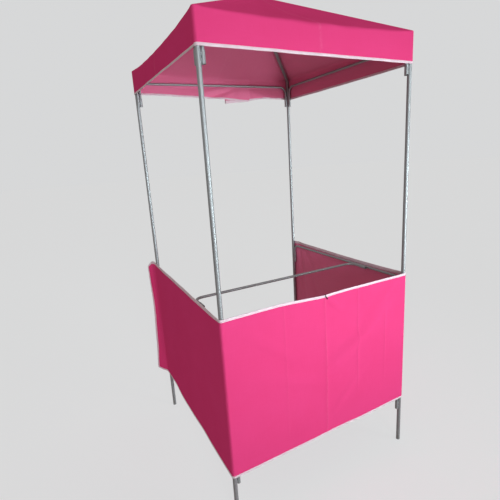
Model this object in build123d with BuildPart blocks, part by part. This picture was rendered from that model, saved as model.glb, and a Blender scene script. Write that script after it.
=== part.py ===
from build123d import *
import math
import os

# Knock-down market stall: a frame of plugged steel tubes, a pyramid canopy and a counter skirt.
# X runs along the front, Y from the front to the open back, and Z up. Everything is drawn
# about the middle of the four posts and then set down with the origin on the floor, at the
# middle of the whole footprint, which the free end of the left panel moves a little.

# Plan
plan_width = 1000
plan_half = plan_width / 2

# Tubes
post_diameter = 19
post_wall = 1.2
socket_diameter = 16
socket_wall = 1.2
bar_diameter = 13
bar_wall = 1.0

# Posts, and the three rings of bars at the tube's centre line
post_length = 1975
eave_bar_rise = 15
counter_rail_height = 932
lower_rail_height = 318
side_rail_rise = 55

# Bars with both ends bent down into sockets
bend_radius = 40
socket_length = 45
socket_drop = 120
leg_stop = 6
cross_bar_setback = 360

# Rafters and the hub that joins them
rafter_bend = 32
swage_length = 38
swage_shoulder = 5
slip_gap = 0.3
hub_diameter = 26
hub_wall = 1.6
hub_height = 46
hub_cap = 2
stub_length = 62

# Cloth and the tape sewn over its edges
cloth_thickness = 2
cloth_gap = 0.3
tape_thickness = 0.6
tape_width = 10
fold_rise = 65
roof_rise = 260
valance_depth = 120
skirt_above_rail = 35
skirt_below_rail = 68
right_rear_cover = 9
flap_radius = 90
flap_turn = 46

# Cord tie over the front hem
tie_diameter = 2.5
tie_place = 1
tie_front_length = 20
tie_back_length = 14

# Places that follow from the sizes
post_place = plan_half - post_diameter / 2
socket_offset = (post_diameter + socket_diameter) / 2
leg_place = post_place - socket_offset
bar_drop = socket_drop - leg_stop
cross_bar_place = cross_bar_setback - post_place
cross_leg_place = post_place - (bar_diameter + socket_diameter) / 2
swage_diameter = post_diameter - 2 * post_wall - 2 * slip_gap

eave_bar_height = post_length + eave_bar_rise
lower_side_height = lower_rail_height + side_rail_rise
fold_height = post_length + fold_rise
apex_height = fold_height + roof_rise
hem_height = fold_height - valance_depth
skirt_top = counter_rail_height + skirt_above_rail
skirt_bottom = lower_rail_height - skirt_below_rail

cloth_inner = plan_half + cloth_gap + tape_thickness
cloth_outer = cloth_inner + cloth_thickness
roof_slope = roof_rise / cloth_outer
roof_angle = math.atan(roof_slope)
roof_drop = cloth_thickness / math.cos(roof_angle)

hub_centre = apex_height - roof_drop - (post_diameter / 2 + cloth_gap) / math.cos(roof_angle)
hip_slope = roof_slope / math.sqrt(2)
hip_angle = math.atan(hip_slope)
post_reach = post_place * math.sqrt(2)
stub_reach = stub_length * math.cos(hip_angle)

corners = {
    "front_left": (-1, -1),
    "front_right": (1, -1),
    "back_left": (-1, 1),
    "back_right": (1, 1),
}
outward = {
    "front": Vector(0, -1, 0),
    "right": Vector(1, 0, 0),
    "back": Vector(0, 1, 0),
    "left": Vector(-1, 0, 0),
}
skirt_sides = ("front", "left", "right")
up = Vector(0, 0, 1)

# Height of each side's bar in the three rings; near the floor the side bars sit above the front one
eave_heights = dict.fromkeys(outward, eave_bar_height)
counter_heights = dict.fromkeys(skirt_sides, counter_rail_height)
lower_heights = {"front": lower_rail_height, "left": lower_side_height, "right": lower_side_height}

# Footprint, from the tape on the front and right to the tip of the flap on the left and back
tape_outer = cloth_outer + tape_thickness
tape_half = cloth_thickness / 2 + tape_thickness
flap_middle = (cloth_inner + cloth_outer) / 2 + flap_radius
flap_left = flap_middle - (flap_radius - tape_half) * math.cos(math.radians(flap_turn))
flap_back = plan_half + (flap_radius + tape_half) * math.sin(math.radians(flap_turn))
stand = Location(((flap_left - tape_outer) / 2, (tape_outer - flap_back) / 2, 0))

os.makedirs("parts", exist_ok=True)


def write(piece, name):
    piece.part.label = name
    export_step(piece.part.moved(stand), f"parts/{name}.step")


def tube(start, outer, wall, length):
    # Straight tube that grows from the start plane along its normal.
    with BuildPart() as piece:
        with BuildSketch(start):
            Circle(outer / 2)
            Circle(outer / 2 - wall, mode=Mode.SUBTRACT)
        extrude(amount=length)
    return piece


def bent_bar(face, legs_apart):
    # Bar along the face's local X, with both ends bent towards its local -Y.
    half = legs_apart / 2
    with BuildPart() as piece:
        with BuildLine(face) as route:
            FilletPolyline(
                (-half, -bar_drop),
                (-half, 0),
                (half, 0),
                (half, -bar_drop),
                radius=bend_radius,
            )
        with BuildSketch(Plane(origin=route.line @ 0, z_dir=route.line % 0)):
            Circle(bar_diameter / 2)
            Circle(bar_diameter / 2 - bar_wall, mode=Mode.SUBTRACT)
        sweep(path=route.line)
    return piece


def side_face(side, height):
    # Upright plane through the two posts of a side, with local Y up.
    out = outward[side]
    return Plane(origin=out * post_place + up * height, x_dir=up.cross(out), z_dir=out)


def ring_sockets(heights):
    # Two upright sockets for each bar, welded to the inboard sides of its posts.
    with BuildPart() as piece:
        for side, height in heights.items():
            out = outward[side]
            along = up.cross(out)
            for end in (-1, 1):
                centre = out * post_place + along * (end * leg_place) + up * (height - socket_drop)
                with BuildSketch(Plane(origin=centre)):
                    Circle(socket_diameter / 2)
                    Circle(socket_diameter / 2 - socket_wall, mode=Mode.SUBTRACT)
        extrude(amount=socket_length)
    return piece


# Posts, open at the foot and at the top
for name, (x_side, y_side) in corners.items():
    foot = Plane(origin=(x_side * post_place, y_side * post_place, 0))
    write(tube(foot, post_diameter, post_wall, post_length), f"post_{name}")

# Eave bars on all four sides, rails at the counter and near the floor on the three skirted ones
rings = {"eave_bar": eave_heights, "counter_rail": counter_heights, "lower_rail": lower_heights}
for ring, heights in rings.items():
    for side, height in heights.items():
        write(bent_bar(side_face(side, height), 2 * leg_place), f"{ring}_{side}")

write(ring_sockets(eave_heights), "eave_sockets")
write(ring_sockets(counter_heights), "counter_rail_sockets")
write(ring_sockets(lower_heights), "lower_rail_sockets")

# Bar across the stall that carries the counter top, plugged forward into sockets on the side rails
cross_face = Plane(origin=(0, cross_bar_place, counter_rail_height))
write(bent_bar(cross_face, 2 * cross_leg_place), "counter_cross_bar")

socket_mouth = cross_bar_place - socket_drop
with BuildPart() as cross_sockets:
    for x_side in (-1, 1):
        mouth = (x_side * cross_leg_place, socket_mouth, counter_rail_height)
        with BuildSketch(Plane(origin=mouth, x_dir=(1, 0, 0), z_dir=(0, 1, 0))):
            Circle(socket_diameter / 2)
            Circle(socket_diameter / 2 - socket_wall, mode=Mode.SUBTRACT)
    extrude(amount=socket_length)
write(cross_sockets, "cross_bar_sockets")


# Rafters: bent down over the posts, with both ends swaged to slip into a tube of the same size
outer_radius = post_diameter / 2
inner_radius = outer_radius - post_wall
swage_radius = swage_diameter / 2
swage_profile = [
    (outer_radius, 0),
    (swage_radius, swage_shoulder),
    (swage_radius, swage_shoulder + swage_length),
    (swage_radius - post_wall, swage_shoulder + swage_length),
    (swage_radius - post_wall, swage_shoulder),
    (inner_radius, 0),
]


def rafter(x_side, y_side):
    reach = Vector(x_side, y_side, 0).normalized()
    hip_face = Plane(origin=(0, 0, 0), x_dir=reach, z_dir=reach.cross(up))
    shoulder_reach = stub_reach + swage_shoulder * math.cos(hip_angle)
    with BuildPart() as piece:
        with BuildLine(hip_face) as route:
            FilletPolyline(
                (post_reach, post_length + swage_shoulder),
                (post_reach, hub_centre - hip_slope * post_reach),
                (shoulder_reach, hub_centre - hip_slope * shoulder_reach),
                radius=rafter_bend,
            )
        with BuildSketch(Plane(origin=route.line @ 0, z_dir=route.line % 0)):
            Circle(outer_radius)
            Circle(inner_radius, mode=Mode.SUBTRACT)
        sweep(path=route.line)
        for tip, way in ((route.line @ 0, (route.line % 0) * -1), (route.line @ 1, route.line % 1)):
            end_face = Plane(origin=tip, x_dir=hip_face.z_dir, z_dir=hip_face.z_dir.cross(way))
            with BuildSketch(end_face):
                with BuildLine():
                    Polyline(*swage_profile, close=True)
                make_face()
            revolve(axis=Axis(tip, way))
    return piece


for name, (x_side, y_side) in corners.items():
    write(rafter(x_side, y_side), f"rafter_{name}")

# Hub: a short capped tube with four stubs that take the rafters' upper ends
hub_radius = hub_diameter / 2
hub_top = apex_height - roof_drop - roof_slope * hub_radius - cloth_gap / math.cos(roof_angle)
with BuildPart() as hub:
    for radius, mode in ((outer_radius, Mode.ADD), (inner_radius, Mode.SUBTRACT)):
        for x_side, y_side in corners.values():
            reach = Vector(x_side, y_side, 0).normalized()
            way = reach * math.cos(hip_angle) - up * math.sin(hip_angle)
            with BuildSketch(Plane(origin=(0, 0, hub_centre), z_dir=way)):
                Circle(radius)
            extrude(amount=stub_length, mode=mode)
    with BuildSketch(Plane.XY.offset(hub_top)):
        Circle(hub_radius)
    extrude(amount=-hub_height)
    with BuildSketch(Plane.XY.offset(hub_top - hub_cap)):
        Circle(hub_radius - hub_wall)
    extrude(amount=-hub_height, mode=Mode.SUBTRACT)
write(hub, "roof_hub")


# Cloth that runs round the stall: an outline of distance from the middle and height, for one side
def mitred_strip(side, *outlines):
    out = outward[side]
    with BuildPart() as piece:
        for outline in outlines:
            with BuildSketch(Plane(origin=(0, 0, 0), x_dir=out, z_dir=out.cross(up))):
                with BuildLine():
                    Polyline(*outline, close=True)
                make_face()
            extrude(amount=plan_width, both=True)
        for turn in (-45, 45):
            split(bisect_by=Plane(origin=(0, 0, 0), z_dir=out.rotate(Axis.Z, turn)), keep=Keep.TOP)
    return piece


def sheet_outline(low, high):
    return [(cloth_outer, high), (cloth_outer, low), (cloth_inner, low), (cloth_inner, high)]


def tape_outline(edge, way):
    # Tape folded over an edge of the cloth; way is +1 for a lower edge and -1 for an upper one.
    inside = cloth_inner - tape_thickness
    seat = edge + way * tape_thickness
    reach = edge + way * tape_width
    return [
        (tape_outer, edge),
        (tape_outer, reach),
        (cloth_outer, reach),
        (cloth_outer, seat),
        (cloth_inner, seat),
        (cloth_inner, reach),
        (inside, reach),
        (inside, edge),
    ]


roof_outline = [
    (cloth_outer, fold_height),
    (0, apex_height),
    (0, apex_height - roof_drop),
    (cloth_outer - roof_drop / roof_slope, fold_height),
]
for side in outward:
    write(mitred_strip(side, roof_outline), f"roof_panel_{side}")
    write(mitred_strip(side, sheet_outline(hem_height + tape_thickness, fold_height)), f"valance_{side}")
    write(mitred_strip(side, tape_outline(hem_height, 1)), f"valance_tape_{side}")

skirt_edges = (skirt_bottom + tape_thickness, skirt_top - tape_thickness)
skirt_tapes = (tape_outline(skirt_bottom, 1), tape_outline(skirt_top, -1))
write(mitred_strip("front", sheet_outline(*skirt_edges)), "skirt_front")
write(mitred_strip("front", *skirt_tapes), "skirt_tape_front")


def side_plan(x_side, rear, cover):
    # Plan of a side panel, mitred at the front corner; cover thickens it on both faces.
    inner = cloth_inner - cover
    outer = cloth_outer + cover
    with BuildSketch() as plan:
        with BuildLine():
            Polyline(
                (x_side * outer, -outer),
                (x_side * inner, -inner),
                (x_side * inner, rear),
                (x_side * outer, rear),
                close=True,
            )
        make_face()
    return plan.sketch


def flap_plan(cover, turn):
    # Plan of the free end of the left panel, which curls outward behind the post.
    centre = (-flap_middle, plan_half)
    half = cloth_thickness / 2 + cover
    with BuildSketch() as plan:
        with BuildLine():
            near = CenterArc(centre, flap_radius + half, 0, turn)
            far = CenterArc(centre, flap_radius - half, 0, turn)
            Line(near @ 0, far @ 0)
            Line(near @ 1, far @ 1)
        make_face()
    return plan.sketch


def raise_plan(plan, low, high):
    return extrude(plan.moved(Location((0, 0, low))), amount=high - low, mode=Mode.PRIVATE)


right_rear = plan_half + right_rear_cover
flap_edge_turn = flap_turn - math.degrees(tape_thickness / flap_radius)
flap_tape_turn = flap_turn - math.degrees(tape_width / flap_radius)
window_low = skirt_bottom + tape_width
window_high = skirt_top - tape_width
window_cover = 2 * tape_thickness

with BuildPart() as skirt_left:
    add(raise_plan(side_plan(-1, plan_half, 0), *skirt_edges))
    add(raise_plan(flap_plan(0, flap_edge_turn), *skirt_edges))
write(skirt_left, "skirt_left")

with BuildPart() as skirt_right:
    add(raise_plan(side_plan(1, right_rear - tape_thickness, 0), *skirt_edges))
write(skirt_right, "skirt_right")

with BuildPart() as tape_left:
    add(raise_plan(side_plan(-1, plan_half, tape_thickness), skirt_bottom, skirt_top))
    add(raise_plan(flap_plan(tape_thickness, flap_turn), skirt_bottom, skirt_top))
    add(raise_plan(side_plan(-1, plan_half, window_cover), window_low, window_high), mode=Mode.SUBTRACT)
    add(raise_plan(flap_plan(window_cover, flap_tape_turn), window_low, window_high), mode=Mode.SUBTRACT)
    add(skirt_left.part, mode=Mode.SUBTRACT)
write(tape_left, "skirt_tape_left")

with BuildPart() as tape_right:
    add(raise_plan(side_plan(1, right_rear, tape_thickness), skirt_bottom, skirt_top))
    window_plan = side_plan(1, right_rear - tape_width, window_cover)
    add(raise_plan(window_plan, window_low, window_high), mode=Mode.SUBTRACT)
    add(skirt_right.part, mode=Mode.SUBTRACT)
write(tape_right, "skirt_tape_right")

# Cord tie that hooks over the front hem
tie_front = tape_outer + cloth_gap + tie_diameter / 2
tie_back = cloth_inner - tape_thickness - cloth_gap - tie_diameter / 2
tie_over = skirt_top + cloth_gap + tie_diameter / 2
with BuildPart() as tie:
    with BuildLine(Plane(origin=(tie_place, 0, 0), x_dir=(0, 1, 0), z_dir=(1, 0, 0))) as tie_route:
        FilletPolyline(
            (-tie_front, skirt_top - tie_front_length),
            (-tie_front, tie_over),
            (-tie_back, tie_over),
            (-tie_back, skirt_top - tie_back_length),
            radius=tie_diameter,
        )
    with BuildSketch(Plane(origin=tie_route.line @ 0, z_dir=tie_route.line % 0)):
        Circle(tie_diameter / 2)
    sweep(path=tie_route.line)
write(tie, "front_tie")
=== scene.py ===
import math
import bpy
from mathutils import Matrix, Vector, noise


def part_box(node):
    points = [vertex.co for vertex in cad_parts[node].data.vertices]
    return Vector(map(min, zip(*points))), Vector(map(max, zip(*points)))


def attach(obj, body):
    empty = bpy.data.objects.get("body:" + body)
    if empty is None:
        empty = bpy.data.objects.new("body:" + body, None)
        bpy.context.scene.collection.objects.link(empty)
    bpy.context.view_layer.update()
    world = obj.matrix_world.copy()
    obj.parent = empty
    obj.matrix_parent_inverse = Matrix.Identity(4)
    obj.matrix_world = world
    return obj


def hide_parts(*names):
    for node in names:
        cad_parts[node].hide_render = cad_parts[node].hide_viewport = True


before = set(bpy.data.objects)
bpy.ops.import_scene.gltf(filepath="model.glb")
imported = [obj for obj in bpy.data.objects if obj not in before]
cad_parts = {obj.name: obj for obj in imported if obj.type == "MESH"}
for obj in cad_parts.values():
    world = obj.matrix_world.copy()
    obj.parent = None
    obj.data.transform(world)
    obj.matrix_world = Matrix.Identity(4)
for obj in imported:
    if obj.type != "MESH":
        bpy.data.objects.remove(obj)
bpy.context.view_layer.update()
print("Frame loaded:", len(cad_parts), "nodes")

# Camera as the photographer held it, in metres and degrees
cameraView = {
    "place": (-0.9733, -1.8123, 1.5599),
    "heading": 26.39,
    "pitch": -13.50,
    "roll": -3.71,
    "focalPixels": 383.9,
    "framePixels": 500,
    "sensorWidth": 36.0,
}


def addCamera(view):
    heading, pitch, roll = (math.radians(view[k]) for k in ("heading", "pitch", "roll"))
    forward = Vector((math.sin(heading) * math.cos(pitch),
                      math.cos(heading) * math.cos(pitch), math.sin(pitch)))
    level = Vector((math.cos(heading), -math.sin(heading), 0))
    right = level * math.cos(roll) + level.cross(forward) * math.sin(roll)
    up = right.cross(forward)
    data = bpy.data.cameras.new("stallCamera")
    data.sensor_width = view["sensorWidth"]
    data.lens = view["focalPixels"] * view["sensorWidth"] / view["framePixels"]
    camera = bpy.data.objects.new("stallCamera", data)
    bpy.context.collection.objects.link(camera)
    turn = Matrix((right, up, -forward)).transposed().to_4x4()
    camera.matrix_world = Matrix.Translation(view["place"]) @ turn
    bpy.context.scene.camera = camera


addCamera(cameraView)
print("Camera set")


# Shader maths: a Signal is a node's output that can be used in sums
class Signal:
    def __init__(self, paint, output):
        self.paint = paint
        self.output = output

    def sum(self, operation, first, second):
        return self.paint.add("ShaderNodeMath", {"operation": operation}, {0: first, 1: second})

    def __add__(self, other):
        return self.sum("ADD", self, other)

    def __radd__(self, other):
        return self.sum("ADD", other, self)

    def __sub__(self, other):
        return self.sum("SUBTRACT", self, other)

    def __rsub__(self, other):
        return self.sum("SUBTRACT", other, self)

    def __mul__(self, other):
        return self.sum("MULTIPLY", self, other)

    def __lt__(self, other):
        return self.sum("LESS_THAN", self, other)


class Paint:
    # One material; sockets holds the shader's constant values
    def __init__(self, name, sockets):
        self.material = bpy.data.materials.new(name)
        self.material.use_nodes = True
        self.nodes = self.material.node_tree.nodes
        self.links = self.material.node_tree.links
        self.nodes.clear()
        self.shader = self.nodes.new("ShaderNodeBsdfPrincipled")
        end = self.nodes.new("ShaderNodeOutputMaterial")
        self.links.new(self.shader.outputs["BSDF"], end.inputs["Surface"])
        for socket, value in sockets.items():
            self.shader.inputs[socket].default_value = value

    def plug(self, value, socket):
        if isinstance(value, Signal):
            self.links.new(value.output, socket)
        else:
            socket.default_value = value

    def add(self, kind, settings=None, inputs=None, output=0):
        node = self.nodes.new(kind)
        for key, value in (settings or {}).items():
            setattr(node, key, value)
        for key, value in (inputs or {}).items():
            self.plug(value, node.inputs[key])
        return Signal(self, node.outputs[output])

    def place(self, source="Object", scale=(1, 1, 1)):
        spot = self.add("ShaderNodeTexCoord", output=source)
        return self.add("ShaderNodeMapping", {}, {"Vector": spot, "Scale": scale})

    def split(self, vector):
        parts = self.add("ShaderNodeSeparateXYZ", {}, {0: vector}).output.node
        return [Signal(self, output) for output in parts.outputs]

    def cloud(self, vector, scale, detail=2, rough=0.5):
        sizes = {"Vector": vector, "Scale": scale, "Detail": detail, "Roughness": rough}
        return self.add("ShaderNodeTexNoise", {}, sizes)

    def wave(self, value, pitch):
        return self.add("ShaderNodeMath", {"operation": "SINE"}, {0: value * (2 * math.pi / pitch)})

    def clamp(self, value, low, high):
        edges = {"Value": value, "From Min": low, "From Max": high}
        return self.add("ShaderNodeMapRange", {}, edges)

    def blend(self, factor, first, second):
        colours = [c if isinstance(c, Signal) else (*c, 1) for c in (first, second)]
        inputs = {0: factor, 6: colours[0], 7: colours[1]}
        return self.add("ShaderNodeMix", {"data_type": "RGBA"}, inputs, output=2)

    def finish(self, colour, rough, height=None, bump=(0, 0), metal=None):
        # bump is the depth and the strength of the relief that height gives
        self.plug(colour, self.shader.inputs["Base Color"])
        self.plug(rough, self.shader.inputs["Roughness"])
        if metal is not None:
            self.plug(metal, self.shader.inputs["Metallic"])
        if height is not None:
            relief = {"Height": height, "Distance": bump[0], "Strength": bump[1]}
            self.plug(self.add("ShaderNodeBump", {}, relief), self.shader.inputs["Normal"])
        return self.material


zinc = {
    "pale": (0.38, 0.415, 0.43),
    "dull": (0.28, 0.305, 0.32),
    "dirt": (0.17, 0.14, 0.11),
    "rust": (0.20, 0.075, 0.03),
    # sizes of the patterns, the larger the finer
    "spangle": 140,
    "streak": 240,
    "patch": 7,
    "speck": 420,
    "worn": 14,
    "grime": 60,
    "dirtHeight": 0.05,
    "rough": 0.40,
    "metal": 0.6,
    "bump": (0.00001, 0.25),
}


def zincTube(name, stretch):
    # Zinc-coated steel tube, with spangle, drawing streaks along the tube and a little grime
    paint = Paint(name, {"Specular IOR Level": 0.5})
    place = paint.place()
    along = paint.place(scale=stretch)
    flakes = {"Vector": place, "Scale": zinc["spangle"]}
    spangle = paint.add("ShaderNodeTexVoronoi", {}, flakes, output="Color")
    grain = paint.add("ShaderNodeRGBToBW", {}, {0: spangle})
    streak = paint.cloud(along, zinc["streak"], 3)
    patch = paint.cloud(place, zinc["patch"])
    tone = paint.clamp(grain * 0.2 + streak * 0.5 + patch * 0.6, 0.4, 0.95)
    colour = paint.blend(tone, zinc["dull"], zinc["pale"])
    speck = paint.clamp(paint.cloud(place, zinc["speck"]), 0.66, 0.74)
    worn = paint.clamp(paint.cloud(place, zinc["worn"]), 0.52, 0.70) * speck
    grime = paint.clamp(paint.cloud(place, zinc["grime"], 3), 0.35, 0.7)
    foot = (1 - paint.clamp(paint.split(place)[2], 0.0, zinc["dirtHeight"])) * grime
    colour = paint.blend(worn * 0.8, colour, zinc["rust"])
    colour = paint.blend(foot * 0.75, colour, zinc["dirt"])
    rough = zinc["rough"] + streak * 0.06 + patch * 0.06 + worn * 0.3 + foot * 0.3
    metal = (1 - paint.clamp(worn + foot, 0.0, 1.2)) * zinc["metal"]
    return paint.finish(colour, rough, streak + worn * 0.5, zinc["bump"], metal)


cloth = {
    # the paler and the deeper tone of each face, and its shine
    "face": ((0.800, 0.071, 0.258), (0.745, 0.052, 0.203), 0.0),
    # the lining is the paler uncoated inner side, made paler still as painted light for light shining
    # through the cloth and up from the floor
    "liningPaintedLight": ((0.850, 0.230, 0.415), (0.780, 0.192, 0.345), 0.03),
    "creaseScuffAndHighlightColour": (0.90, 0.36, 0.52),
    "creaseScuffAndHighlightShare": 0.14,
    "thread": 0.0011,
    "slub": (900, 14),
    "mottle": 5,
    "scuffAndHighlight": 60,
    "rough": 0.50,
    "bump": (0.00010, 0.6),
}


def coatedCloth(name, light, deep, shine):
    # Plain-woven polyester with a thin coat: threads both ways, slubs and pale packing creases, whose
    # paleness is partly scuffed coat and partly painted highlight
    paint = Paint(name, {"Specular IOR Level": shine})
    flat = paint.place("UV")
    across, down = paint.split(flat)[:2]
    weave = paint.wave(across, cloth["thread"]) * paint.wave(down, cloth["thread"])
    fine, long = cloth["slub"]
    slubs = paint.cloud(paint.place("UV", (fine, long, 1)), 1)
    slubs += paint.cloud(paint.place("UV", (long, fine, 1)), 1)
    mottle = paint.cloud(flat, cloth["mottle"], 3, 0.6)
    crease = paint.add("ShaderNodeAttribute", {"attribute_name": "crease"}, output="Fac")
    # painted highlight: the pale crease colour is partly scuffed coat and partly stands in for light
    # catching the crease ridges
    scuffAndHighlight = crease * paint.clamp(paint.cloud(flat, cloth["scuffAndHighlight"], 3, 0.7), 0.35, 0.65)
    tone = paint.clamp(slubs * 0.35 + mottle * 0.35 + weave * 0.05, 0.25, 0.85)
    colour = paint.blend(tone, deep, light)
    colour = paint.blend(scuffAndHighlight * cloth["creaseScuffAndHighlightShare"], colour, cloth["creaseScuffAndHighlightColour"])
    rough = cloth["rough"] + mottle * 0.12 - weave * 0.04 + scuffAndHighlight * 0.1
    return paint.finish(colour, rough, weave + slubs * 0.6, cloth["bump"])


tape = {
    "colour": (0.86, 0.76, 0.83),
    "shade": (0.76, 0.61, 0.70),
    "thread": (0.80, 0.42, 0.56),
    "rib": 0.0011,
    # spacing of the stitches, the share of it that is thread, and the row's place and half width
    "stitch": 0.0042,
    "stitchShare": 0.62,
    "stitchInset": 0.0026,
    "stitchWidth": 0.0006,
    "soil": 22,
    "rough": 0.62,
    "bump": (0.00015, 0.7),
}


def wovenTape(name):
    # Ribbed binding tape with a row of stitches near each long edge
    paint = Paint(name, {"Specular IOR Level": 0.3, "Sheen Weight": 0.1})
    flat = paint.place("UV")
    along = paint.split(flat)[0]
    rib = paint.wave(along, tape["rib"])
    soil = paint.cloud(flat, tape["soil"], 3, 0.6)
    row = paint.add("ShaderNodeAttribute", {"attribute_name": "edgeDistance"}, output="Fac")
    aside = paint.add("ShaderNodeMath", {"operation": "ABSOLUTE"}, {0: row - tape["stitchInset"]})
    pitch = paint.add("ShaderNodeMath", {"operation": "FRACT"}, {0: along * (1 / tape["stitch"])})
    band = aside < tape["stitchWidth"]
    stitch = band * (pitch < tape["stitchShare"])
    colour = paint.blend(paint.clamp(soil + rib * 0.05, 0.35, 0.75), tape["shade"], tape["colour"])
    colour = paint.blend(stitch * 0.8, colour, tape["thread"])
    rough = tape["rough"] + soil * 0.12
    return paint.finish(colour, rough, rib * 0.5 + stitch * 2 - band * 1.2, tape["bump"])


cord = {
    "deep": (0.008, 0.008, 0.010),
    "light": (0.040, 0.038, 0.042),
    "braid": 0.0016,
    "fluff": 300,
    "rough": 0.7,
    "bump": (0.0003, 0.8),
}


def braidedCord(name):
    paint = Paint(name, {"Specular IOR Level": 0.25})
    place = paint.place()
    y, z = paint.split(place)[1:]
    braid = paint.wave(z + y, cord["braid"]) * paint.wave(z - y, cord["braid"])
    tone = paint.clamp(braid * 0.5 + paint.cloud(place, cord["fluff"]), 0.2, 1.1)
    colour = paint.blend(tone, cord["deep"], cord["light"])
    return paint.finish(colour, cord["rough"] + tone * 0.1, braid, cord["bump"])


beadPaint = {
    "deep": (0.34, 0.36, 0.38),
    "light": (0.66, 0.69, 0.71),
    "metal": 0.85,
    "lumps": 380,
    "rough": 0.35,
    "bump": (0.0004, 0.8),
}


def weldZinc(name):
    # Weld bead under cold zinc paint
    paint = Paint(name, {"Metallic": beadPaint["metal"], "Specular IOR Level": 0.5})
    lumps = paint.cloud(paint.place(), beadPaint["lumps"], 3, 0.6)
    colour = paint.blend(paint.clamp(lumps, 0.35, 0.65), beadPaint["deep"], beadPaint["light"])
    return paint.finish(colour, beadPaint["rough"] + lumps * 0.25, lumps, beadPaint["bump"])


# The stretch of each zinc draws its streaks out along the tube
materials = {
    "zincUp": zincTube("zincTubeUp", (1, 1, 0.012)),
    "zincAcross": zincTube("zincTubeAcross", (0.012, 1, 1)),
    "zincDeep": zincTube("zincTubeDeep", (1, 0.012, 1)),
    "zincRoof": zincTube("zincTubeRoof", (0.15, 0.15, 0.3)),
    "face": coatedCloth("pinkClothFace", *cloth["face"]),
    # the lining material carries painted light: it is paler than the face to stand in for light through
    # the cloth
    "liningPaintedLight": coatedCloth("pinkClothLiningPaintedLight", *cloth["liningPaintedLight"]),
    "tape": wovenTape("wovenTape"),
    "cord": braidedCord("blackCord"),
    "weld": weldZinc("weldZinc"),
}
print("Materials made:", len(materials))


def dress(piece, *names):
    piece.data.materials.clear()
    for name in names:
        piece.data.materials.append(materials[name])


def zincFor(node):
    if node.startswith("post") or node.endswith("sockets") and node != "cross_bar_sockets":
        return "zincUp"
    if node.startswith("rafter") or node == "roof_hub":
        return "zincRoof"
    if node.endswith("left") or node.endswith("right") or node == "cross_bar_sockets":
        return "zincDeep"
    return "zincAcross"


steelStarts = ("post", "eave", "counter", "lower", "cross", "rafter", "roof_hub")
for node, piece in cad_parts.items():
    if node.startswith(steelStarts):
        dress(piece, zincFor(node))
print("Steel dressed")


def clearSelection():
    if bpy.context.object and bpy.context.object.mode != "OBJECT":
        bpy.ops.object.mode_set(mode="OBJECT")
    bpy.ops.object.select_all(action="DESELECT")


def choose(piece):
    clearSelection()
    piece.select_set(True)
    bpy.context.view_layer.objects.active = piece


def finishCloth(piece):
    # Gives the sheet its colours and its thickness, with the lining inside, and returns its area; the
    # lining's paler colour is partly painted light
    area = sum(face.area for face in piece.data.polygons)
    dress(piece, "face", "liningPaintedLight")
    choose(piece)
    skin = piece.modifiers.new("thickness", "SOLIDIFY")
    skin.thickness = fabric["thickness"]
    skin.offset = 0
    skin.use_even_offset = True
    skin.material_offset = 1
    bpy.ops.object.modifier_apply(modifier=skin.name)
    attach(piece, "root")
    return area


def sheetFromGrid(name, rows, places, closed, values=None):
    # rows holds lists of points; places(row, column, point) gives the flat place of each on the cloth
    high, wide = len(rows), len(rows[0])
    points = [p for row in rows for p in row]
    faces, flats = [], []
    for r in range(high - 1):
        for c in range(wide if closed else wide - 1):
            d = (c + 1) % wide
            corners = [(r, c), (r + 1, c), (r + 1, d), (r, d)]
            faces.append([i * wide + j for i, j in corners])
            flats.extend(places(i, c, rows[i][j]) for i, j in corners)
    mesh = bpy.data.meshes.new(name)
    mesh.from_pydata([tuple(p) for p in points], [], faces)
    layer = mesh.uv_layers.new(name="flat")
    for loop, flat in zip(layer.data, flats):
        loop.uv = flat
    for key, numbers in (values or {}).items():
        mark = mesh.attributes.new(key, "FLOAT", "POINT")
        mark.data.foreach_set("value", [n for row in numbers for n in row])
    mesh.shade_smooth()
    mesh.update()
    piece = bpy.data.objects.new(name, mesh)
    bpy.context.collection.objects.link(piece)
    return piece


def between(keys, at):
    # Value of a smooth line through listed (place, value) pairs
    if at <= keys[0][0]:
        return keys[0][1]
    if at >= keys[-1][0]:
        return keys[-1][1]
    i = max(n for n, (place, value) in enumerate(keys) if place <= at)

    def lean(n):
        (a, low), (b, high) = keys[max(n - 1, 0)], keys[min(n + 1, len(keys) - 1)]
        return (high - low) / (b - a)

    (a, low), (b, high) = keys[i], keys[i + 1]
    span = b - a
    t = (at - a) / span
    start = low * (1 + 2 * t) * (1 - t) ** 2 + span * lean(i) * t * (1 - t) ** 2
    return start + high * t * t * (3 - 2 * t) - span * lean(i + 1) * t * t * (1 - t)


def ease(low, high, at):
    t = min(1, max(0, (at - low) / (high - low)))
    return t * t * (3 - 2 * t)


def ripple(x, y, z, size):
    return noise.noise(Vector((x, y, z)) / size)


def bell(distance, width):
    return math.exp(-((distance / width) ** 2))


hubLow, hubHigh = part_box("roof_hub")
middle = Vector(((hubLow.x + hubHigh.x) / 2, (hubLow.y + hubHigh.y) / 2, 0))
panelLow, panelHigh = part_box("roof_panel_front")
fabric = {
    "thickness": 0.0009,
    "cornerRadius": 0.011,
    "inset": 0.0006,         # how far the hems lie inside the ends of the tape
}
# Sides in their order round the stall, and the outward and the along way of each
sideNames = ("front", "right", "back", "left")
back, left = 2, 3
sideWays = [
    (Vector((0, -1, 0)), Vector((1, 0, 0))),
    (Vector((1, 0, 0)), Vector((0, 1, 0))),
    (Vector((0, 1, 0)), Vector((-1, 0, 0))),
    (Vector((-1, 0, 0)), Vector((0, -1, 0))),
]

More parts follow.
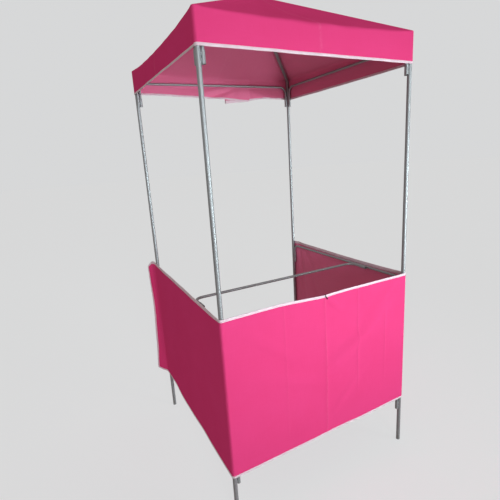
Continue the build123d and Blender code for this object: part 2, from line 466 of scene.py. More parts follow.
# Canopy: one sheet from the apex over the rounded fold and down the valance to the hem
canopy = {
    "apex": panelHigh.z,
    "fold": panelLow.z,
    "hem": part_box("valance_tape_front")[0].z + fabric["inset"],
    "half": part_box("valance_right")[1].x - 0.001 - middle.x,
    "columns": 92,
    "cornerColumns": 4,
    "roofRings": 40,
    "roofSpread": 0.35,      # how much wider the rings are near the apex
    "foldRings": 8,
    "valanceRings": 15,
    "foldRadiusCorner": 0.005,
    "foldRadiusMiddle": 0.026,
    "foldDip": 0.012,
    "foldAt": [0.003, 0.003, 0.002, 0.012],    # lift of the fold at each corner, front left first
    "hemAt": [0.003, -0.008, -0.008, 0.013],   # the same for the hem
    "hemDip": 0.001,
    "panelSag": 0.012,
    "blunt": 0.008,
    "bow": 0.0035,
    # uneven places of the cloth, as (depth, size)
    "foldRipple": (0.0030, 0.09),
    "hemRipple": (0.0012, 0.12),
    "radiusRipple": (0.35, 0.11),
    "panelRipple": (0.0022, 0.13),
    "flute": (0.0030, 0.10),
    # where the ends of the back valance overlap, and how far each is moved out there
    "tuckAt": 0.209,
    "tuckStep": (-0.0010, 0.0030),
    "tuckReach": 0.05,
    # rise of the back hem on both sides of the overlap, as (place along the front way, rise)
    "innerHem": [(-0.50, 0.0), (-0.358, 0.0025), (-0.242, 0.0), (-0.088, -0.003), (0.01, -0.004),
                 (0.10, -0.009), (0.144, -0.0127), (0.209, -0.0145)],
    "outerHem": [(0.209, -0.008), (0.27, 0.0), (0.325, 0.0045), (0.40, 0.0045), (0.467, 0.003),
                 (0.50, 0.0)],
    # the tie that draws it up to the bar, and the folds that fan out below it, as
    # (degrees from straight down, push, length), with their width at the tie and its growth
    "tuckHeart": (0.172, 2.001),
    "tuckFolds": [(-86, 0.008, 0.60), (-79, -0.006, 0.36), (-73, 0.014, 0.36), (-52, 0.004, 0.14),
                  (40, 0.003, 0.12), (60, 0.010, 0.22), (66, -0.006, 0.24), (72, 0.012, 0.32),
                  (80, 0.008, 0.34)],
    "tuckWidth": (0.011, 0.03),
    "tuckStart": (0.015, 0.09),
    "tuckInward": (-0.002, -0.004),   # how far in it may go at the fold, and how much more at the hem
}


def canopyColumns():
    # Each column is a side, a share along its straight part and an angle round its corner
    found = []
    corner, count = canopy["cornerColumns"], canopy["columns"]
    for side in range(4):
        for i in range(corner):
            found.append((side, -1.0, -45 + 45 * i / corner))
        shares = [-1 + 2 * i / count for i in range(count + 1)]
        if side == back:
            step = -canopy["tuckAt"] / canopy["half"]
            shares = sorted([s for s in shares if abs(s - step) > 0.004] + [step - 0.001, step + 0.001])
        found.extend((side, share, 0.0) for share in shares)
        for i in range(1, corner):
            found.append((side, 1.0, 45 * i / corner))
    return found


def uneven(kind, x, y, z):
    depth, size = canopy[kind]
    return depth * ripple(x, y, z, size)


def canopyProfile(side, share):
    # (distance from the middle, height) of each ring, from the apex to the hem
    c = canopy
    half = c["half"]
    start, end = side, (side + 1) % 4
    mix = (share + 1) / 2
    middleness = 1 - share * share
    along = share * half + side * 3
    fold = c["fold"] + c["foldAt"][start] * (1 - mix) ** 3 + c["foldAt"][end] * mix ** 3
    fold -= c["foldDip"] * middleness ** 0.6
    fold += middleness * uneven("foldRipple", along, 0, 0)
    hem = c["hem"] + c["hemAt"][start] * (1 - mix) + c["hemAt"][end] * mix
    hem += uneven("hemRipple", along, 5, 0) - c["hemDip"] * middleness
    radius = c["foldRadiusCorner"] + (c["foldRadiusMiddle"] - c["foldRadiusCorner"]) * middleness ** 0.7
    radius *= 1 + middleness * uneven("radiusRipple", along, 9, 0)
    slope = (c["apex"] - fold) / half
    lean = math.atan(slope)
    centre = (half - radius, fold + slope * radius - radius / math.cos(lean))
    rim = centre[0] + radius * math.sin(lean)
    places = []
    for i in range(c["roofRings"]):
        t = i / c["roofRings"]
        w = rim * (t + c["roofSpread"] * t * (1 - t))
        blunt = math.hypot(w, c["blunt"]) - w
        z = c["apex"] - slope * w - slope * blunt
        z -= c["panelSag"] * middleness * math.sin(math.pi * w / half) ** 2
        z += middleness * uneven("panelRipple", share * w + side * 3, w, 3) * min(1, w / 0.1)
        places.append((w, z))
    for i in range(c["foldRings"] + 1):
        turn = lean + (math.pi / 2 - lean) * i / c["foldRings"]
        places.append((centre[0] + radius * math.sin(turn), centre[1] + radius * math.cos(turn)))
    top = centre[1]
    for i in range(1, c["valanceRings"] + 1):
        t = i / c["valanceRings"]
        z = top + (hem - top) * t
        bow = c["bow"] * math.sin(math.pi * min(1, t * 1.1) / 1.1) * middleness
        flute = t * middleness ** 0.5 * (0.5 * c["flute"][0] + uneven("flute", along, 0, t * 0.05))
        places.append((half + bow + max(0, flute), z))
    return places


def drawUp(a, z, drop):
    # Push and rise of the back valance where it is tied up; a runs along the front way
    c = canopy
    side, drape = a - c["tuckHeart"][0], c["tuckHeart"][1] - z
    reach, angle = math.hypot(side, drape), math.degrees(math.atan2(side, drape))
    width = c["tuckWidth"][0] + c["tuckWidth"][1] * reach
    push = 0.0
    for at, depth, length in c["tuckFolds"]:
        if abs(angle - at) < 60:
            aside = reach * math.sin(math.radians(angle - at))
            fade = ease(*c["tuckStart"], reach) * (1 - ease(0.5 * length, length, reach))
            push += depth * bell(aside, width) * fade
    off = a - c["tuckAt"]
    keys, step = (c["innerHem"], c["tuckStep"][0]) if off < 0 else (c["outerHem"], c["tuckStep"][1])
    push += step * bell(off, c["tuckReach"])
    least, further = c["tuckInward"]
    return max(push, least + further * ease(0.2, 0.5, drop)), between(keys, a) * drop ** 2


def canopyRows():
    rows = []
    columns = canopyColumns()
    profiles = [canopyProfile(side, share) for side, share, turn in columns]
    for level in range(len(profiles[0])):
        row = []
        for (side, share, turn), profile in zip(columns, profiles):
            out, along = sideWays[side]
            w, z = profile[level]
            r = min(fabric["cornerRadius"], 0.5 * w)
            angle = math.radians(turn)
            a = share * (w - r) + r * math.sin(angle)
            o = (w - r) + r * math.cos(angle)
            point = middle + out * o + along * a + Vector((0, 0, z))
            if side == back and z < canopy["fold"] - 0.01:
                push, rise = drawUp(-a, z, (canopy["fold"] - z) / (canopy["fold"] - canopy["hem"]))
                point += out * push + Vector((0, 0, rise))
            row.append(point)
        rows.append(row)
    return rows, columns


def rowLengths(rows, column):
    lengths = [0.0]
    for above, below in zip(rows, rows[1:]):
        lengths.append(lengths[-1] + (below[column] - above[column]).length)
    return lengths


rows, columns = canopyRows()
middleColumn = canopy["cornerColumns"] + canopy["columns"] // 2
down = rowLengths(rows, middleColumn)


def canopyFlat(row, column, point):
    along = sideWays[columns[column][0]][1]
    return (along.dot(point - middle), down[row])


# A faint pale line where the folded cloth was pressed, on both middle lines of the roof; its paleness is
# partly scuffed coat and partly a painted highlight on the fold
pressWidth = 0.004
pressed = [[bell(abs(share) * (rows[r][c] - middle).xy.length, pressWidth) if r > 0 else 0.0
            for c, (side, share, turn) in enumerate(columns)] for r in range(len(rows))]
canopyCloth = sheetFromGrid("canopyCloth", rows, canopyFlat, True, {"crease": pressed})
canopyArea = finishCloth(canopyCloth)
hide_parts(*[kind + side for kind in ("roof_panel_", "valance_") for side in sideNames])
print("Canopy sheet made, area", round(canopyArea, 4))

# Tape folded over an edge, as (distance off the cloth's middle, distance in from the edge)
# of its outer leg, which the inner leg mirrors
tapeShape = {
    "outer": [(0.0007, 0.0100), (0.0011, 0.0093), (0.0012, 0.0055), (0.0011, 0.0012), (0.0006, -0.0004)],
    # how much wider the outer and the inner leg are: along the left part of the counter's hem,
    # along the rest of it, and along the canopy's left side
    "topLeft": (1.6, 1.7),
    "topRest": (1.0, 1.7),
    "canopyLeft": (0.7, 1.0),
    "plain": (1.0, 1.0),
}


def tapeAlong(name, edge, closed):
    # edge holds (point on the cloth's edge, outward way, way into the cloth, how much wider each leg is)
    edge = [entry if len(entry) == 4 else (*entry, tapeShape["plain"]) for entry in edge]
    outline = tapeShape["outer"] + [(-off, deep) for off, deep in reversed(tapeShape["outer"])]
    ring = outline + outline[:1]
    spans = [0.0]
    for (a, b), (c, d) in zip(ring, ring[1:]):
        spans.append(spans[-1] + math.hypot(c - a, d - b))
    lengths = [0.0]
    for here, there in zip(edge, edge[1:] + edge[:1]):
        lengths.append(lengths[-1] + (there[0] - here[0]).length)
    rows = [[point + out * off + inward * deep * wider[off < 0] for off, deep in outline]
            for point, out, inward, wider in edge]
    if closed:
        rows.append([Vector(p) for p in rows[0]])
    reach = [[max(0.0, outline[0][1] - deep) for off, deep in outline]] * len(rows)
    flat = lambda row, column, point: (lengths[row], spans[column])
    piece = sheetFromGrid(name, rows, flat, True, {"edgeDistance": reach})
    choose(piece)
    bpy.ops.object.mode_set(mode="EDIT")
    bpy.ops.mesh.select_all(action="SELECT")
    bpy.ops.mesh.remove_doubles(threshold=0.00001)
    if not closed:
        bpy.ops.mesh.select_all(action="DESELECT")
        bpy.ops.mesh.select_mode(type="EDGE")
        bpy.ops.mesh.select_non_manifold()
        bpy.ops.mesh.fill()
        bpy.ops.mesh.select_all(action="SELECT")
    bpy.ops.mesh.normals_make_consistent(inside=False)
    bpy.ops.object.mode_set(mode="OBJECT")
    dress(piece, "tape")
    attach(piece, "root")
    return piece


def canopyEdge():
    edge = []
    hem, above = rows[-1], rows[-2]
    for c, (side, share, turn) in enumerate(columns):
        out, along = sideWays[side]
        angle = math.radians(turn)
        way = out * math.cos(angle) + along * math.sin(angle)
        inward = (above[c] - hem[c]).normalized()
        legs = "canopyLeft" if side == left and turn == 0 else "plain"
        edge.append((hem[c], way, inward, tapeShape[legs]))
    return edge


canopyTape = tapeAlong("canopyHemTape", canopyEdge(), True)
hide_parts(*["valance_tape_" + side for side in sideNames])
print("Canopy tape made")

# Overlap: the outer end of the back valance carries on behind the inner one and hangs lower
lap = {
    "from": 0.209,
    "to": 0.046,
    "top": 2.012,
    "hem": [(0.046, 1.8925), (0.209, 1.9055)],
    "off": (0.0012, 0.0035),      # how far it stands off the canopy, at its top and from its middle down
    "tape": (1.0, 1.7),
    "seam": 0.001,
}


def valanceAt(column, height):
    # The canopy's own place at this height in one column, or below its hem straight under it
    for above, below in zip(rows[canopy["roofRings"]:], rows[canopy["roofRings"] + 1:]):
        if below[column].z <= height:
            high, low = above[column], below[column]
            place = low.lerp(high, min(1.0, (height - low.z) / (high.z - low.z)))
            break
    else:
        place = rows[-1][column].copy()
    place.z = height
    return place


def addLap():
    out = sideWays[back][0]
    behind = [c for c, (side, share, turn) in enumerate(columns) if side == back and turn == 0
              and lap["to"] - 0.004 < rows[-1][c].x - middle.x < lap["from"]]
    near, far = lap["off"]
    sheetRows = []
    for level, ring in enumerate(rows[-1 - canopy["valanceRings"]:]):
        share = level / canopy["valanceRings"]
        row = []
        for c in behind:
            low = between(lap["hem"], ring[c].x - middle.x)
            point = valanceAt(c, lap["top"] + (low - lap["top"]) * share)
            row.append(point + out * (near + (far - near) * ease(0, 0.5, share)))
        sheetRows.append(row)
    cloth = sheetFromGrid("canopyLap", sheetRows, lambda r, c, p: (p.x, p.z), False)
    area = finishCloth(cloth)
    hem, above = sheetRows[-1], sheetRows[-2]
    edge = [(low, out, (high - low).normalized(), lap["tape"]) for low, high in zip(hem, above)]
    binding = tapeAlong("canopyLapTape", edge, False)
    wide = max(sum((a - b).length for a, b in zip(row, row[1:])) for row in sheetRows)
    tall = max(rowLengths(sheetRows, 0)[-1], rowLengths(sheetRows, -1)[-1])
    round(wide + lap["seam"], 3)
    print("Overlap made, area", round(area, 4), "of", round(wide * tall, 4))


addLap()

# Skirt: one sheet from the free end behind the left post, round the front and back to the right post
skirtLow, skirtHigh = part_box("skirt_tape_front")
skirt = {
    "half": skirtHigh.x - 0.0016 - middle.x,
    "rear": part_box("skirt_tape_right")[1].y - middle.y - fabric["inset"],
    "bottom": skirtLow.z + fabric["inset"],
    "top": skirtHigh.z - fabric["inset"],
    "flapStart": 0.5,
    "flapLength": 0.0722,
    "rows": 54,
    "step": 0.010,
    "cornerSteps": 6,
    # height of the top hem along the cloth, as (place along, rise above the plain height)
    "topHem": [(0.0, -0.020), (0.012, -0.002), (0.032, 0.0125), (0.075, 0.010), (0.30, 0.005),
               (0.69, 0.001), (0.97, -0.002), (1.074, -0.003), (1.20, -0.001), (1.35, 0.0),
               (1.48, -0.0070), (1.560, -0.0118), (1.60, -0.0105), (1.70, -0.008), (1.90, -0.008),
               (2.07, -0.008), (2.25, -0.012), (2.45, -0.013), (2.75, -0.009), (3.07, -0.006)],
    "bottomHem": [(0.0, 0.024), (0.020, 0.006), (0.039, -0.006), (0.0722, -0.016), (0.165, -0.013),
                  (0.243, -0.012), (0.35, -0.022), (0.50, -0.026), (0.70, -0.018), (1.074, -0.0135),
                  (1.30, -0.0085), (1.57, 0.001), (1.80, 0.0045), (2.07, 0.013), (2.55, 0.006),
                  (3.07, 0.004)],
    # how far the free end turns out, in degrees, by height, the length of the bend, where along the cloth
    # the turn of the very edge begins and ends and how far it goes, and the steps that add it up
    "curl": [(0.22, 68), (0.29, 64), (0.388, 40), (0.526, 27), (0.69, 13), (0.83, 19), (0.95, 23)],
    "curlBend": 0.030,
    "curlEdge": (0.034, 0.010, 84),
    "curlSteps": 24,
    # how far each panel bellies out, and its ripple as (depth, squeeze in height, where it is read, size)
    "belly": {"left": 0.005, "front": 0.003, "right": 0.005},
    "ripple": {"left": (0.0030, 0.35, 0, 0.17), "front": (0.0022, 0.5, 2, 0.15),
               "right": (0.0026, 0.4, 4, 0.16)},
    "inward": -0.0015,
    # pressed lines, as (place along the front from its middle, push, width, lowest, highest)
    "creases": [(-0.2135, 0.0013, 0.006, 0.30, 0.95), (-0.001, 0.0036, 0.008, 0.27, 0.97),
                (0.188, 0.0018, 0.006, 0.45, 0.97), (0.362, 0.0013, 0.006, 0.45, 0.80)],
    # the crease mark's pale colour is partly scuffed coat and partly painted highlight
    "creaseMark": (0.0034, 0.003),     # the push that marks the cloth in full, and the mark's width
    "creaseColumns": (0.0012, 0.0035, 0.007, 0.012),
    # soft folds that slant across the front, as
    # (middle of the fold, its height, rise per metre, push, half width, half length)
    "slants": [(0.13, 0.668, 0.40, 0.0120, 0.028, 0.12), (0.27, 0.755, 0.62, 0.0060, 0.028, 0.12),
               (0.34, 0.86, 0.80, 0.0040, 0.024, 0.10), (-0.20, 0.60, -0.35, 0.0055, 0.030, 0.20),
               (-0.30, 0.80, -0.75, 0.0040, 0.028, 0.12), (0.045, 0.905, -0.8, 0.0055, 0.014, 0.04),
               (0.10, 0.42, 0.9, 0.0050, 0.024, 0.10)],
    # the same for the right panel, from its front corner
    "rightSlants": [(0.84, 0.87, 0.9, 0.0080, 0.020, 0.12), (0.90, 0.75, 5.0, 0.0090, 0.022, 0.05),
                    (0.60, 0.80, -0.5, 0.0050, 0.022, 0.14), (0.74, 0.66, 1.6, 0.0060, 0.024, 0.09)],
}


def skirtMarks():
    # Lengths along the cloth where each part of its plan begins
    s = skirt
    arc = fabric["cornerRadius"] * math.pi / 2
    straight = s["half"] - fabric["cornerRadius"]
    found = {"left": s["flapLength"]}
    found["frontArc"] = found["left"] + s["flapStart"] + straight
    found["front"] = found["frontArc"] + arc
    found["rightArc"] = found["front"] + 2 * straight
    found["right"] = found["rightArc"] + arc
    found["end"] = found["right"] + straight + s["rear"]
    return found


marks = skirtMarks()


def skirtPlan(s, height):
    # Point of the plan and its outward way, at a length along the cloth
    half, radius = skirt["half"], fabric["cornerRadius"]
    inset = half - radius
    if s < marks["left"]:
        whole = between(skirt["curl"], height)
        begins, ends, edgeTurn = skirt["curlEdge"]
        spot = Vector((-half, skirt["flapStart"], 0))
        step = (marks["left"] - s) / skirt["curlSteps"]
        turn = 0.0
        for i in range(skirt["curlSteps"]):
            at = marks["left"] - step * (i + 0.5)
            turn = whole * ease(0, 1, (marks["left"] - at) / skirt["curlBend"])
            turn += (max(edgeTurn, whole) - whole) * ease(0, 1, (begins - at) / (begins - ends))
            turn = math.radians(turn)
            spot += step * Vector((-math.sin(turn), math.cos(turn), 0))
        return spot, Vector((-math.cos(turn), -math.sin(turn), 0))
    if s < marks["frontArc"]:
        return Vector((-half, skirt["flapStart"] - (s - marks["left"]), 0)), Vector((-1, 0, 0))
    if s < marks["front"]:
        angle = (s - marks["frontArc"]) / radius
        way = Vector((-math.cos(angle), -math.sin(angle), 0))
        return Vector((-inset, -inset, 0)) + way * radius, way
    if s < marks["rightArc"]:
        return Vector((-inset + s - marks["front"], -half, 0)), Vector((0, -1, 0))
    if s < marks["right"]:
        angle = (s - marks["rightArc"]) / radius
        way = Vector((math.sin(angle), -math.cos(angle), 0))
        return Vector((inset, -inset, 0)) + way * radius, way
    return Vector((half, -inset + s - marks["right"], 0)), Vector((1, 0, 0))


def billow(panel, begins, ends, s, z, share):
    # The belly and the ripple of one panel, which fade to nothing at its sides
    depth, squeeze, place, size = skirt["ripple"][panel]
    spread = math.sin(math.pi * (s - begins) / (ends - begins))
    belly = skirt["belly"][panel] * math.sin(math.pi * share)
    return spread * (belly + depth * ripple(s, z * squeeze, place, size))


def skirtPush(s, z, share):
    # How far the cloth stands off its plain place, and how strongly it is creased there
    push, crease = 0.0, 0.0
    if marks["left"] < s < marks["frontArc"]:
        push = billow("left", marks["left"], marks["frontArc"], s, z, share)
    elif marks["front"] < s < marks["rightArc"]:
        push = billow("front", marks["front"], marks["rightArc"], s, z, share)
        x = s - (marks["front"] + marks["rightArc"]) / 2
        fullPush, markWidth = skirt["creaseMark"]
        for at, depth, width, low, high in skirt["creases"]:
            fade = ease(low - 0.06, low + 0.02, z) * (1 - 0.6 * ease(high - 0.01, high + 0.02, z))
            fade *= 0.75 + 0.5 * ripple(at, z, 7, 0.12)
            push += depth * math.exp(-abs(x - at) / width) * fade
            crease += depth / fullPush * math.exp(-abs(x - at) / markWidth) * fade
        corner = 1 - ease(0.42, 0.49, abs(x))
        for at, height, rise, depth, width, reach in skirt["slants"]:
            push += depth * bell(z - height - rise * (x - at), width) * bell(x - at, reach) * corner
    elif s > marks["right"]:
        push = billow("right", marks["right"], marks["end"], s, z, share)
        for at, height, rise, depth, width, reach in skirt["rightSlants"]:
            off = s - marks["right"] - at
            push += depth * bell(z - height - rise * off, width * (1 + abs(rise))) * bell(off, reach)
    return max(push, skirt["inward"]), min(crease, 1.0)


def skirtColumns():
    count = round(marks["end"] / skirt["step"])
    places = [marks["end"] * i / count for i in range(count + 1)]
    room, steps = 0.003, skirt["cornerSteps"]
    for begins, ends in (("frontArc", "front"), ("rightArc", "right")):
        start, stop = marks[begins], marks[ends]
        places = [p for p in places if not start - room < p < stop + room]
        places += [start + (stop - start) * i / steps for i in range(steps + 1)]
    zero = (marks["front"] + marks["rightArc"]) / 2
    offsets = [sign * off for off in skirt["creaseColumns"] for sign in (-1, 1)]
    for at in [crease[0] for crease in skirt["creases"]]:
        places = [p for p in places if abs(p - zero - at) > max(offsets)]
        places += [zero + at + off for off in (0, *offsets)]
    return sorted(places)


skirtPlaces = skirtColumns()
skirtRows, skirtCrease, skirtOut = [], [], []
for r in range(skirt["rows"] + 1):
    share = r / skirt["rows"]
    line, mark, ways = [], [], []
    for s in skirtPlaces:
        low = skirt["bottom"] + between(skirt["bottomHem"], s)
        high = skirt["top"] + between(skirt["topHem"], s)
        z = low + (high - low) * share
        spot, way = skirtPlan(s, z)
        push, crease = skirtPush(s, z, share)
        line.append(middle + spot + way * push + Vector((0, 0, z)))
        mark.append(crease)
        ways.append(way)
    skirtRows.append(line)
    skirtCrease.append(mark)
    skirtOut.append(ways)
for lines in (skirtRows, skirtCrease, skirtOut):
    lines.reverse()

skirtCloth = sheetFromGrid("skirtCloth", skirtRows, lambda r, c, p: (0, 0), False,
                           {"crease": skirtCrease})
layer = skirtCloth.data.uv_layers["flat"]
wide = len(skirtPlaces)
for face in skirtCloth.data.polygons:
    for loop, corner in zip(face.loop_indices, face.vertices):
        layer.data[loop].uv = (skirtPlaces[corner % wide], skirtRows[corner // wide][corner % wide].z)
skirtArea = finishCloth(skirtCloth)
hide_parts("skirt_front", "skirt_left", "skirt_right")
print("Skirt sheet made, area", round(skirtArea, 4), "length", round(marks["end"], 4))


def skirtEdge():
    # Round the whole panel: top, right end, bottom and free end
    last = len(skirtPlaces) - 1
    bottom = len(skirtRows) - 1

    def into(r, c, toRow, toColumn):
        return (skirtRows[toRow][toColumn] - skirtRows[r][c]).normalized()

    def fromHem(r, c):
        inward = into(r, c, 1 if r == 0 else r - 1, c)
        if c in (0, last):
            inward = inward + into(r, c, r, 1 if c == 0 else c - 1)
        return inward

    edge = []
    for c in range(last + 1):
        share = 1 - ease(marks["frontArc"] - 0.10, marks["frontArc"], skirtPlaces[c])
        share *= ease(0.0, 0.04, skirtPlaces[c])
        legs = zip(tapeShape["topLeft"], tapeShape["topRest"])
        wider = [rest + (start - rest) * share for start, rest in legs]
        edge.append((skirtRows[0][c], skirtOut[0][c], fromHem(0, c), wider))
    for r in range(1, bottom):
        edge.append((skirtRows[r][last], skirtOut[r][last], into(r, last, r, last - 1)))
    for c in range(last, -1, -1):
        edge.append((skirtRows[bottom][c], skirtOut[bottom][c], fromHem(bottom, c)))
    for r in range(bottom - 1, 0, -1):
        edge.append((skirtRows[r][0], skirtOut[r][0], into(r, 0, r, 1)))
    return edge


skirtTape = tapeAlong("skirtEdgeTape", skirtEdge(), True)
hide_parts("skirt_tape_front", "skirt_tape_left", "skirt_tape_right")
print("Skirt tape made")

# Tie of braided cord over the front hem, with its knot
tieLow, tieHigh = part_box("front_tie")
tie = {
    "across": (tieLow.x + tieHigh.x) / 2,
    "thick": 0.0015,
    "lift": 0.0005,
    "knotRadius": 0.0034,
    "knotShape": (1.25, 0.8, 1.0),
    "knotOff": 0.0004,
    "knotDrop": 0.008,
    # strands, as lines of (place to the right, share of the way back, distance off the front, drop)
    "strands": [
        [(-0.001, 1, 0, 0.012), (-0.001, 1, 0, 0.003), (0, 0.5, 0, 0), (0.001, 0, 0, 0.003),
         (0, 0, 0, 0.008)],
        [(0.002, 1, 0, 0.010), (0.002, 1, 0, 0.003), (0.0015, 0.5, 0, 0), (-0.001, 0, 0, 0.003),
         (0, 0, 0, 0.008)],
        [(0, 0, 0, 0.008), (0.006, 0, 0.0016, 0.013), (0.011, 0, 0.0004, 0.021)],
        [(0, 0, 0, 0.008), (0.004, 0, 0.0028, 0.014), (0.007, 0, 0.0008, 0.021)],
    ],
}


def joinPieces(pieces, name):
    # Makes one smooth piece of several, and gives it its name
    clearSelection()
    for piece in pieces:
        piece.select_set(True)
    bpy.context.view_layer.objects.active = pieces[0]
    bpy.ops.object.join()
    whole = bpy.context.object
    whole.name = name
    bpy.ops.object.shade_smooth()
    return whole


def addTie():
    clearSelection()
    near = tieLow.y + tie["thick"]
    far = tieHigh.y - tie["thick"]
    x = tie["across"]
    hem = min(skirtRows[0], key=lambda spot: abs(spot.x - x) + abs(spot.y - near))
    top = hem.z + tie["lift"] + tie["thick"]
    heart = (x, near - tie["knotOff"], top - tie["knotDrop"])
    bpy.ops.mesh.primitive_uv_sphere_add(segments=16, ring_count=10, radius=tie["knotRadius"],
                                         location=heart)
    knot = bpy.context.object
    bpy.ops.object.mode_set(mode="EDIT")
    bpy.ops.transform.resize(value=tie["knotShape"], center_override=(x, near, top - tie["knotDrop"]))
    bpy.ops.object.mode_set(mode="OBJECT")
    bpy.ops.object.transform_apply(location=True, rotation=True, scale=True)
    strands = [knot]
    for number, line in enumerate(tie["strands"]):
        path = [(x + aside, near + (far - near) * share - off, top - drop)
                for aside, share, off, drop in line]
        data = bpy.data.curves.new("tieStrand", "CURVE")
        data.dimensions = "3D"
        data.bevel_depth = tie["thick"]
        data.bevel_resolution = 3
        data.use_fill_caps = True
        spline = data.splines.new("NURBS")
        spline.points.add(len(path) - 1)
        for point, spot in zip(spline.points, path):
            point.co = (*spot, 1)
        spline.order_u = 3
        spline.use_endpoint_u = True
        strand = bpy.data.objects.new("tieStrand" + str(number), data)
        bpy.context.collection.objects.link(strand)
        choose(strand)
        bpy.ops.object.convert(target="MESH")
        strands.append(bpy.context.object)
    whole = joinPieces(strands, "frontTieCord")
    dress(whole, "cord")
    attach(whole, "root")
    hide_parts("front_tie")


addTie()
print("Tie made")

# Weld beads in the grooves between each socket and its tube
weld = {
    "length": 0.016,
    "thick": 0.0024,
    "inset": 0.003,
    "aside": 0.0046,
    "lumps": 5,
    "lumpDepth": 0.16,
    "postAt": 0.4905,        # from the middle of the stall to a post's middle, both ways
}


def beadStart():
    # One bead, upright, made from a stretched ball with ripples cut across it
    clearSelection()
    bpy.ops.mesh.primitive_uv_sphere_add(segments=10, ring_count=14, radius=0.5, location=(0, 0, 0))
    bead = bpy.context.object
    for point in bead.data.vertices:
        band = 1 + weld["lumpDepth"] * math.cos(point.co.z * 2 * math.pi * weld["lumps"])
        swell = min(1.0, (0.25 - point.co.z ** 2) ** 0.5 * 2.6 + 0.05) if abs(point.co.z) < 0.5 else 0
        flat = Vector((point.co.x, point.co.y))
        if flat.length > 0:
            flat = flat.normalized() * 0.5 * swell * band
        point.co = (flat.x * weld["thick"], flat.y * weld["thick"], point.co.z * weld["length"])
    return bead


def socketSpots(node):
    # Boxes of the sockets in a node, from the loose parts of a copy of its mesh
    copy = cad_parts[node].copy()
    copy.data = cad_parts[node].data.copy()
    bpy.context.collection.objects.link(copy)
    choose(copy)
    bpy.ops.object.mode_set(mode="EDIT")
    bpy.ops.mesh.select_all(action="SELECT")
    bpy.ops.mesh.remove_doubles(threshold=0.00001)
    bpy.ops.mesh.separate(type="LOOSE")
    bpy.ops.object.mode_set(mode="OBJECT")
    spots = []
    for part in list(bpy.context.selected_objects):
        spots.append([Vector([pick(v.co[i] for v in part.data.vertices) for i in range(3)])
                      for pick in (min, max)])
        bpy.data.objects.remove(part)
    return spots


def addWelds():
    bead = beadStart()
    made = []
    for node in ("eave_sockets", "counter_rail_sockets", "lower_rail_sockets"):
        for low, high in socketSpots(node):
            centre = (low + high) / 2
            centre.z = 0
            radius = (high.x - low.x) / 2
            away = centre - middle
            post = Vector([math.copysign(weld["postAt"], way) for way in away.xy] + [0])
            toPost = (post - away).normalized()
            touch = centre + toPost * radius
            cross = Vector((-toPost.y, toPost.x, 0))
            inset = weld["inset"] + weld["length"] / 2
            for flank in (-weld["aside"], weld["aside"]):
                for z in (low.z + inset, high.z - inset):
                    copy = bead.copy()
                    copy.data = bead.data.copy()
                    spot = touch + cross * flank + Vector((0, 0, z))
                    copy.data.transform(Matrix.Translation(spot))
                    bpy.context.collection.objects.link(copy)
                    made.append(copy)
    bpy.data.objects.remove(bead)
    print("Weld beads made:", len(made))
    welds = joinPieces(made, "socketWelds")
    dress(welds, "weld")
    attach(welds, "root")


addWelds()

# Pale floor and soft studio light
studio = {
    "floorSize": 80,
    "floorColour": (0.80, 0.80, 0.80),
    "floorShade": 0.985,
    "floorCloud": 1.5,
    "floorRough": 0.85,
    "background": (0.68, 0.685, 0.69),
    "seenShare": 0.6,        # how much of the floor that the camera sees is a plain pale colour
    "seenColour": (0.947, 0.982, 1.0),
    "ambient": (0.365, 0.307, 0.278),
    "mirrorShare": 0.5,      # how much of the pale background the metal mirrors
    # soft lamps, as (place, aim, size, power, spread in degrees, colour)
    # the last one stands low and lights the underside
    "cards": {
        "rightCard": ((5.0, -6.2, 0.9), (0.0, 0.0, 0.9), (2.0, 1.2), 16.9, 34, (0.87, 0.97, 1.0)),
        "leftCard": ((-1.6, -7.8, 2.2), (0.0, 0.0, 1.2), (2.0, 1.4), 9.0, 34, (0.90, 0.96, 1.0)),
        "lowCard": ((1.6, -3.2, 0.35), (0.0, 0.0, 1.7), (2.0, 0.7), 3.4, 50, (0.94, 0.98, 1.0)),
    },
}


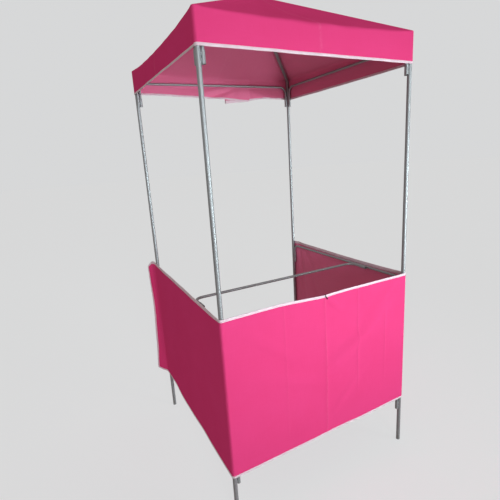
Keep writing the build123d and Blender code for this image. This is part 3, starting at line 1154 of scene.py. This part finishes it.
def addFloor():
    clearSelection()
    bpy.ops.mesh.primitive_plane_add(size=studio["floorSize"], location=(0, 0, 0))
    floor = bpy.context.object
    floor.name = "studioFloor"
    bpy.ops.object.transform_apply(location=True, rotation=True, scale=True)
    paint = Paint("studioFloorPaint", {"Specular IOR Level": 0.0})
    soft = paint.cloud(paint.place(), studio["floorCloud"])
    shade = [c * studio["floorShade"] for c in studio["floorColour"]]
    colour = paint.blend(paint.clamp(soft, 0.2, 0.8), shade, studio["floorColour"])
    material = paint.finish(colour, studio["floorRough"] + soft * 0.1)
    # part of what the camera sees of it is plain colour, so the shadow stays soft
    seen = paint.add("ShaderNodeLightPath", output="Is Camera Ray") * studio["seenShare"]
    glow = paint.add("ShaderNodeEmission", {}, {"Color": (*studio["seenColour"], 1), "Strength": 1.0})
    shaded = Signal(paint, paint.shader.outputs["BSDF"])
    mixed = paint.add("ShaderNodeMixShader", {}, {0: seen, 1: shaded, 2: glow})
    end = next(n for n in paint.nodes if n.type == "OUTPUT_MATERIAL")
    paint.plug(mixed, end.inputs["Surface"])
    floor.data.materials.append(material)


def addLamps():
    for name, (place, aim, size, power, spread, tint) in studio["cards"].items():
        light = bpy.data.lights.new(name, "AREA")
        light.shape = "RECTANGLE"
        light.size, light.size_y = size
        light.energy = power
        light.spread = math.radians(spread)
        light.color = tint
        lamp = bpy.data.objects.new(name, light)
        lamp.location = place
        lamp.rotation_euler = (Vector(aim) - Vector(place)).to_track_quat("-Z", "Y").to_euler()
        lamp.visible_camera = False
        bpy.context.collection.objects.link(lamp)


def addWorld():
    # Plain ambient colour, with the pale background for the camera and a share of it for reflections
    world = bpy.data.worlds.new("studioWorld")
    bpy.context.scene.world = world
    world.use_nodes = True
    nodes, links = world.node_tree.nodes, world.node_tree.links
    nodes.clear()
    path = nodes.new("ShaderNodeLightPath")
    dimmed = nodes.new("ShaderNodeMath")
    dimmed.operation = "MULTIPLY"
    dimmed.inputs[1].default_value = studio["mirrorShare"]
    links.new(path.outputs["Is Glossy Ray"], dimmed.inputs[0])
    seen = nodes.new("ShaderNodeMath")
    seen.operation = "MAXIMUM"
    links.new(path.outputs["Is Camera Ray"], seen.inputs[0])
    links.new(dimmed.outputs[0], seen.inputs[1])
    colour = nodes.new("ShaderNodeMix")
    colour.data_type = "RGBA"
    links.new(seen.outputs[0], colour.inputs[0])
    colour.inputs[6].default_value = (*studio["ambient"], 1)
    colour.inputs[7].default_value = (*studio["background"], 1)
    sky = nodes.new("ShaderNodeBackground")
    links.new(colour.outputs[2], sky.inputs["Color"])
    end = nodes.new("ShaderNodeOutputWorld")
    links.new(sky.outputs[0], end.inputs["Surface"])


addFloor()
addLamps()
addWorld()
bpy.context.scene.view_settings.view_transform = "Standard"
print("Studio set")

clearSelection()
